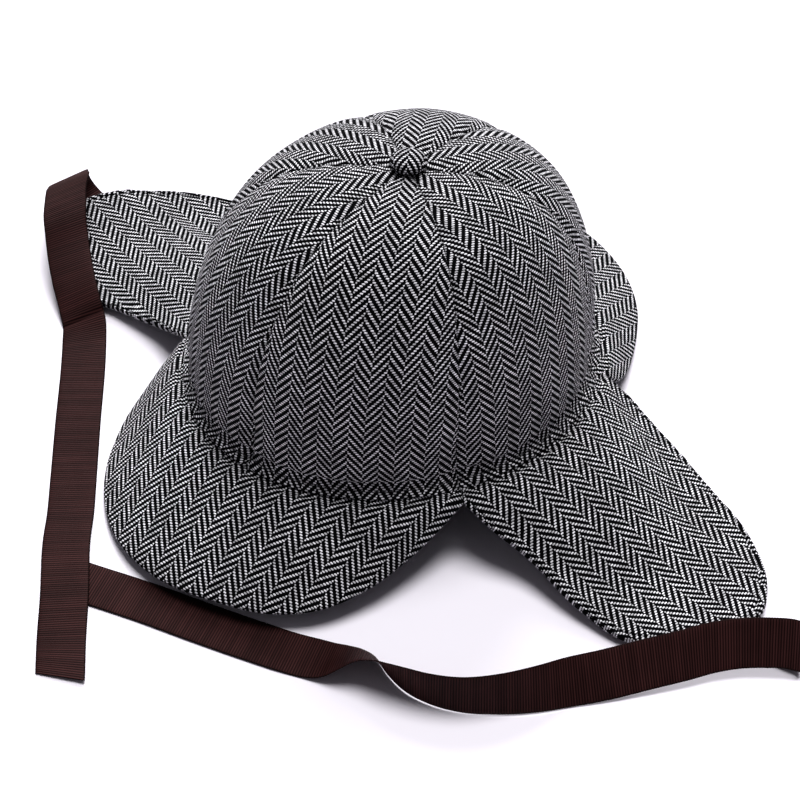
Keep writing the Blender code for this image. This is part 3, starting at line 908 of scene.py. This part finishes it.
def stitched_hem(distance, points, seed):
    """Groove and puckers of a stitched rim, at that distance from it."""
    groove = HEM_GROOVE * fade(distance - HEM_WIDTH, HEM_GROOVE_REACH)
    puckers = HEM_PUCKER * unevenness(points, HEM_PUCKER_SIZE, seed) * fade(distance, HEM_PUCKER_REACH)
    return puckers - groove


def brim_rows(reach, thickness):
    """Outward places of a brim piece's rows, with a column for each reach, and half its thickness there. Rows
    are close together in the tuck at the crown's edge and along the rim, which ends in a quarter round."""
    rounded = np.minimum(MOST_ROUNDED, thickness / 2 / reach)
    banded = np.minimum(MOST_BANDED, RIM_BAND / reach)
    tucked = np.minimum(MOST_TUCKED, TUCK_BAND / reach)
    sewn_rows = np.repeat(np.array(SEWN_PLACES)[:, None], len(reach), axis=1)
    tuck_rows = np.linspace(0.0, 1.0, TUCK_BAND_ROWS + 1)[:, None] * tucked
    plain_rows = tucked + np.linspace(0.0, 1.0, SLACK_ROWS + 1)[1:, None] * (1 - banded - tucked)
    band_rows = 1 - banded + np.linspace(0.0, 1.0, RIM_BAND_ROWS + 1)[1:, None] * (banded - rounded)
    arc = np.linspace(0.0, math.pi / 2, RIM_ARC_ROWS + 1)[1:, None]
    arc_rows = 1 - rounded * (1 - np.sin(arc))
    outward = np.concatenate([sewn_rows, tuck_rows, plain_rows, band_rows, arc_rows])
    half = np.full_like(outward, thickness / 2)
    half[-RIM_ARC_ROWS:] *= np.cos(arc)
    return outward, half


def brim_relief(outward, reach, middle, stitched, seed):
    """How far the upper side of a brim piece rises: slack, puckers, tuck under the crown, stitched rim."""
    free = np.clip(outward * reach / SAG_FREE, 0.0, 1.0)
    sag = SAG * unevenness(middle, SAG_SIZE, seed) * free
    sewn = np.exp(-np.abs(outward) * reach / SEWN_PUCKER_REACH)
    puckers = SEWN_PUCKER * unevenness(middle, SEWN_PUCKER_SIZE, seed + 9) * sewn
    relief = sag + puckers - TUCK * fade(outward * reach - TUCK_PLACE, TUCK_REACH)
    if stitched:
        relief += stitched_hem((1 - outward) * reach, middle, seed)
    return relief


def build_brim_piece(name, rim_rows, degrees, thickness, fall, grain, stitched, seed, finish):
    """A peak or flap of two layers of cloth that meet in a rounded rim."""

    def underside(some_shares, places):
        return brim_underside(rim_rows, degrees, thickness, fall, some_shares, places)

    shares = np.linspace(0.0, 1.0, SLACK_COLUMNS + 1)
    ends = underside(shares, np.stack([np.zeros_like(shares), np.ones_like(shares)]))
    reach = np.linalg.norm(ends[1] - ends[0], axis=-1)
    outward, half = brim_rows(reach, thickness)

    lower = underside(shares, outward)
    normals = grid_normals(lower)
    middle = lower + normals * thickness / 2
    relief = brim_relief(outward, reach, middle, stitched, seed)
    outer = middle + normals * (half + relief * half / thickness * 2)[..., None]
    inner = middle - normals * half[..., None]
    outer[..., 2] = np.maximum(outer[..., 2], 0.0)
    inner[..., 2] = np.maximum(inner[..., 2], 0.0)
    cloth = cloth_places(underside, outward, shares, middle + normals * half[..., None], grain)
    return add_shell(name, outer, inner, cloth, finish)


# Button -----------------------------------------------------------------------------------------------------


def button_profile():
    """Radius and height of the button, from its top down and in to its middle, and the run along them."""
    turn = np.radians(np.linspace(90, -BUTTON_UNDERCUT, BUTTON_ROWS))
    radius = BUTTON_RADIUS * np.cos(turn) ** BUTTON_SIDE_BULGE
    height = BUTTON_HEIGHT * (BUTTON_WAIST + (1 - BUTTON_WAIST) * np.sin(turn))
    radius = np.concatenate([radius, [BUTTON_RADIUS * BUTTON_FOOT, 0.0]])
    height = np.concatenate([height, [0.0, 0.0]])
    steps = np.hypot(np.diff(radius), np.diff(height))
    return radius[:, None], height[:, None], np.concatenate([[0.0], np.cumsum(steps)])[:, None]


def build_button(finish):
    """The cloth-covered button: a low dome, drawn together in small gathers at its lower edge."""
    radius, height, run = button_profile()
    angles = np.linspace(0.0, 2 * math.pi, BUTTON_COLUMNS + 1)
    low = np.clip(run / BUTTON_RADIUS - BUTTON_SMOOTH, 0.0, 1.0)
    waves = np.sin(BUTTON_GATHERS * angles + BUTTON_GATHER_SKEW * np.sin(2 * angles))
    radius = radius * (1 + BUTTON_GATHER_DEPTH * low * waves)
    height = np.repeat(height, len(angles), axis=1)
    local = np.stack([radius * np.cos(angles), radius * np.sin(angles), height], axis=-1)
    tilt = Euler((math.atan(-BASE_RISE_TO_FRONT), math.atan(-BASE_RISE_TO_LEFT), 0.0)).to_matrix()
    apex = crown_surface(np.array(0.0), np.array(DOME_RUN), np.array(0.0))
    points = local @ np.array(tilt).T + apex + (0.0, 0.0, BUTTON_SEAT)
    cloth = np.stack([run * np.cos(angles - BUTTON_GRAIN), run * np.sin(angles - BUTTON_GRAIN)], axis=-1)
    index = np.arange(points.shape[0] * points.shape[1]).reshape(points.shape[:2])
    return add_piece("covered_button", points.reshape(-1, 3), grid_faces(index), cloth.reshape(-1, 2), finish)


# Ribbon ties ------------------------------------------------------------------------------------------------


def ribbon_frame(stations, count):
    """Middles, directions along and unit lines across a ribbon, at that many places."""
    curve = smooth_through(stations, np.linspace(0.0, 1.0, count), 3)
    middles = curve[:, :3] * MM
    tangents = np.gradient(middles, axis=0)
    tangents /= np.linalg.norm(tangents, axis=1)[:, None]
    compass, tilt = np.radians(curve[:, 3]), np.radians(curve[:, 4])
    across = np.stack([np.cos(tilt) * np.cos(compass), np.cos(tilt) * np.sin(compass), np.sin(tilt)], axis=-1)
    return middles, tangents, across


def make_rib_tree():
    """Raised ribs across a ribbon, at even steps along its cloth."""
    inputs = (
        ("Ribbon", "NodeSocketGeometry", None),
        ("Rib Pitch", "NodeSocketFloat", RIB_PITCH),
        ("Rib Height", "NodeSocketFloat", RIB_HEIGHT),
        ("Finish", "NodeSocketMaterial", None),
    )
    outputs = (("Ribbed", "NodeSocketGeometry"),)
    tree, given, result = new_group("GeometryNodeTree", "ribbon_ribs", inputs, outputs)
    place = tree.add("GeometryNodeInputNamedAttribute", {"Name": CLOTH_MAP}, data_type="FLOAT_VECTOR")
    along = tree.add("ShaderNodeSeparateXYZ", {"Vector": place.outputs[0]}).outputs["Y"]
    turns = tree.math("MULTIPLY", tree.math("DIVIDE", along, given["Rib Pitch"]), 2 * math.pi)
    rise = tree.math("MULTIPLY", tree.math("COSINE", tree.math("ADD", turns, math.pi)), given["Rib Height"])
    offset = tree.scaled(tree.add("GeometryNodeInputNormal").outputs[0], rise)
    ribbed = tree.add("GeometryNodeSetPosition", {"Geometry": given["Ribbon"], "Offset": offset})
    real = tree.add("GeometryNodeRealizeInstances", {"Geometry": ribbed.outputs[0]})
    finished = tree.add("GeometryNodeSetMaterial", {"Geometry": real.outputs[0], "Material": given["Finish"]})
    tree.feed(result["Ribbed"], finished.outputs[0])
    return tree.tree


def build_ribbon(name, stations, folds, finish, rib_tree):
    """A ribbed ribbon along its stations, with rounded selvedges and folds at those lengths along it."""
    rough, _, _ = ribbon_frame(stations, ROUGH_STATIONS)
    length = np.linalg.norm(np.diff(rough, axis=0), axis=1).sum()
    middles, tangents, across = ribbon_frame(stations, int(STATIONS_PER_RIB * length / RIB_PITCH))
    normals = np.cross(across, tangents)
    slant = np.linalg.norm(normals, axis=1)[:, None]
    normals /= slant
    edges = across * np.minimum(MOST_SKEW, 1 / slant) * RIBBON_WIDTH / 2
    place = np.sin(np.linspace(-math.pi / 2, math.pi / 2, RIBBON_COLUMNS + 1))
    half = RIBBON_THICKNESS / 2 * np.sqrt(1 - place**SELVEDGE_POWER)
    flat = middles[:, None] + edges[:, None] * place[:, None]
    lift = normals[:, None] * half[:, None]
    steps = np.linalg.norm(np.diff(middles, axis=0), axis=1)
    along = np.concatenate([[0.0], np.cumsum(steps)])
    along, across_place = np.meshgrid(along, place * RIBBON_WIDTH / 2, indexing="ij")
    cloth = np.stack([across_place, along], axis=-1)
    for fold in folds:
        from_fold = along - fold + FOLD_LEAN * across_place
        flat[..., 2] -= FOLD_DEPTH * fade(from_fold, FOLD_REACH)
    piece = add_shell(name, flat + lift, flat - lift, cloth, finish)
    run_geometry_tree(piece, rib_tree, {"Finish": finish})
    return piece, middles + PLACE, float(steps.sum())


# Stitches ---------------------------------------------------------------------------------------------------


def make_stitch_tree():
    """Short rounded stitches at even steps along a line."""
    inputs = (
        ("Line", "NodeSocketGeometry", None),
        ("Stitch Pitch", "NodeSocketFloat", 3.2 * MM),
        ("Stitch Length", "NodeSocketFloat", 2.4 * MM),
        ("Thread Width", "NodeSocketFloat", 0.5 * MM),
        ("Thread", "NodeSocketMaterial", None),
    )
    outputs = (("Stitches", "NodeSocketGeometry"),)
    tree, given, result = new_group("GeometryNodeTree", "stitch_row", inputs, outputs)
    curve = tree.add("GeometryNodeMeshToCurve", {"Mesh": given["Line"]}).outputs["Curve"]
    places = tree.add("GeometryNodeResampleCurve", mode="LENGTH")
    tree.feed(places.inputs["Curve"], curve)
    tree.feed(places.inputs["Length"], given["Stitch Pitch"])
    bead = tree.add("GeometryNodeMeshUVSphere", {"Segments": 8, "Rings": 5, "Radius": 0.5})
    size = tree.add("ShaderNodeCombineXYZ")
    tree.feed(size.inputs["X"], given["Stitch Length"])
    tree.feed(size.inputs["Y"], given["Thread Width"])
    tree.feed(size.inputs["Z"], given["Thread Width"])
    stitch = tree.add("GeometryNodeTransform", {"Geometry": bead.outputs["Mesh"], "Scale": size.outputs[0]})
    tangent = tree.add("GeometryNodeInputTangent").outputs[0]
    turn = tree.add("FunctionNodeAlignRotationToVector", {"Vector": tangent}, axis="X").outputs[0]
    row = tree.add(
        "GeometryNodeInstanceOnPoints",
        {"Points": places.outputs[0], "Instance": stitch.outputs[0], "Rotation": turn},
    )
    real = tree.add("GeometryNodeRealizeInstances", {"Geometry": row.outputs[0]})
    smooth = tree.add("GeometryNodeSetShadeSmooth", {"Geometry": real.outputs[0]})
    inputs = {"Geometry": smooth.outputs[0], "Material": given["Thread"]}
    finished = tree.add("GeometryNodeSetMaterial", inputs)
    tree.feed(result["Stitches"], finished.outputs[0])
    return tree.tree


def add_stitches(name, line, stitch_tree, thread):
    """A row of stitches along a line of points."""
    mesh = bpy.data.meshes.new(name)
    mesh.from_pydata((line + PLACE).tolist(), [(i, i + 1) for i in range(len(line) - 1)], [])
    piece = bpy.data.objects.new(name, mesh)
    bpy.context.scene.collection.objects.link(piece)
    return run_geometry_tree(piece, stitch_tree, {"Thread": thread})


def ledge_stitch_line():
    """The line of stitches round the crown, a little above its lower edge."""
    angles = np.linspace(0.0, 2 * math.pi, STITCH_LINE_POINTS)
    shares = np.mod(angles / GORE_ANGLE, 1.0)
    runs = np.full_like(angles, STITCH_RUN)
    widths = GORE_ANGLE * CROWN_HALF_WIDTH * np.interp(runs, DOME[0], DOME[2])
    return crown_surface(angles, runs, gore_form(runs, shares, widths) - STITCH_GROOVE * THREAD_SUNK)


# Stage ------------------------------------------------------------------------------------------------------


def aim(obj, place, target):
    obj.location = place
    obj.rotation_euler = (Vector(target) - Vector(place)).to_track_quat("-Z", "Y").to_euler()
    bpy.context.scene.collection.objects.link(obj)


def build_camera():
    azimuth, elevation = math.radians(CAMERA_AZIMUTH), math.radians(CAMERA_ELEVATION)
    level = math.cos(elevation)
    back = Vector((math.sin(azimuth) * level, -math.cos(azimuth) * level, math.sin(elevation)))
    camera = bpy.data.objects.new("camera", bpy.data.cameras.new("camera"))
    camera.data.lens = CAMERA_LENS
    aim(camera, Vector(CAMERA_TARGET) + back * CAMERA_DISTANCE, CAMERA_TARGET)
    bpy.context.scene.camera = camera


def add_light(name, place, strength):
    """A wide soft light from that side, equally strong over the whole floor."""
    light = bpy.data.lights.new(name, "SUN")
    light.angle = math.radians(LIGHT_SPREAD)
    light.energy = strength
    aim(bpy.data.objects.new(name, light), place, (0.0, 0.0, 0.0))


def build_stage():
    mesh = bpy.data.meshes.new("floor")
    signs = ((-1, -1), (1, -1), (1, 1), (-1, 1))
    corners = [(x * FLOOR_HALF, y * FLOOR_HALF, FLOOR_HEIGHT) for x, y in signs]
    mesh.from_pydata(corners, [], [(0, 1, 2, 3)])
    mesh.materials.append(make_floor_finish())
    floor = bpy.data.objects.new("floor", mesh)
    bpy.context.scene.collection.objects.link(floor)
    for light in LIGHTS:
        add_light(*light)
    world = bpy.data.worlds.new("pale_room")
    world.use_nodes = True
    background = world.node_tree.nodes["Background"]
    background.inputs["Color"].default_value = ROOM_COLOUR
    background.inputs["Strength"].default_value = ROOM_STRENGTH
    bpy.context.scene.world = world
    bpy.context.scene.view_settings.view_transform = "Standard"
    bpy.context.scene.view_settings.look = "Medium High Contrast"


# The hat ----------------------------------------------------------------------------------------------------


def place_piece(piece, slot, *nodes):
    """Puts a finished piece on the hat's body, in place of its CAD nodes."""
    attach(piece, "root")
    if nodes:
        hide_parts(*nodes)


def build_hat():
    herringbone, fuzz, ribbed = make_herringbone_group(), make_fuzz_group(), make_rib_group()
    tweed = make_tweed(herringbone, fuzz)
    ribbon = make_ribbon_finish(ribbed, fuzz)
    thread = make_thread(fuzz)

    rib_tree = make_rib_tree()
    ties = (("left", LEFT_TIE, LEFT_FOLDS, LEFT_EXIT), ("right", RIGHT_TIE, RIGHT_FOLDS, RIGHT_EXIT))
    for side, stations, folds, leaves_at in ties:
        piece, path, length = build_ribbon("brown_tie_" + side, stations, folds, ribbon, rib_tree)
        place_piece(piece, "ribbon", "ribbon_tie_" + side)

    for i, gore_name in enumerate(GORE_NAMES):
        piece, cut, area = build_gore("tweed_gore_" + gore_name, i * GORE_ANGLE, (i + 1) * GORE_ANGLE, tweed)
        place_piece(piece, "tweed", "crown_gore_" + gore_name)

    button = build_button(tweed)
    place_piece(button, "tweed", "top_button")

    brims = (
        ("front_peak", FRONT_PEAK_RIM, (-60, 60), PEAK_THICKNESS, peak_fall, FRONT_PEAK_GRAIN, False),
        ("ear_flap_left", LEFT_FLAP_RIM, (60, 120), FLAP_THICKNESS, flap_fall, LEFT_FLAP_GRAIN, True),
        ("back_peak", BACK_PEAK_RIM, (120, 240), PEAK_THICKNESS, peak_fall, BACK_PEAK_GRAIN, False),
        ("ear_flap_right", RIGHT_FLAP_RIM, (240, 300), FLAP_THICKNESS, flap_fall, RIGHT_FLAP_GRAIN, True),
    )
    for seed, (node, *form) in enumerate(brims):
        piece = build_brim_piece("tweed_" + node, *form, seed * BRIM_SEED_STEP, tweed)
        place_piece(piece, "tweed", node)

    stitches = add_stitches("crown_stitches", ledge_stitch_line(), make_stitch_tree(), thread)
    place_piece(stitches, "tweed")


build_camera()
build_stage()
build_hat()
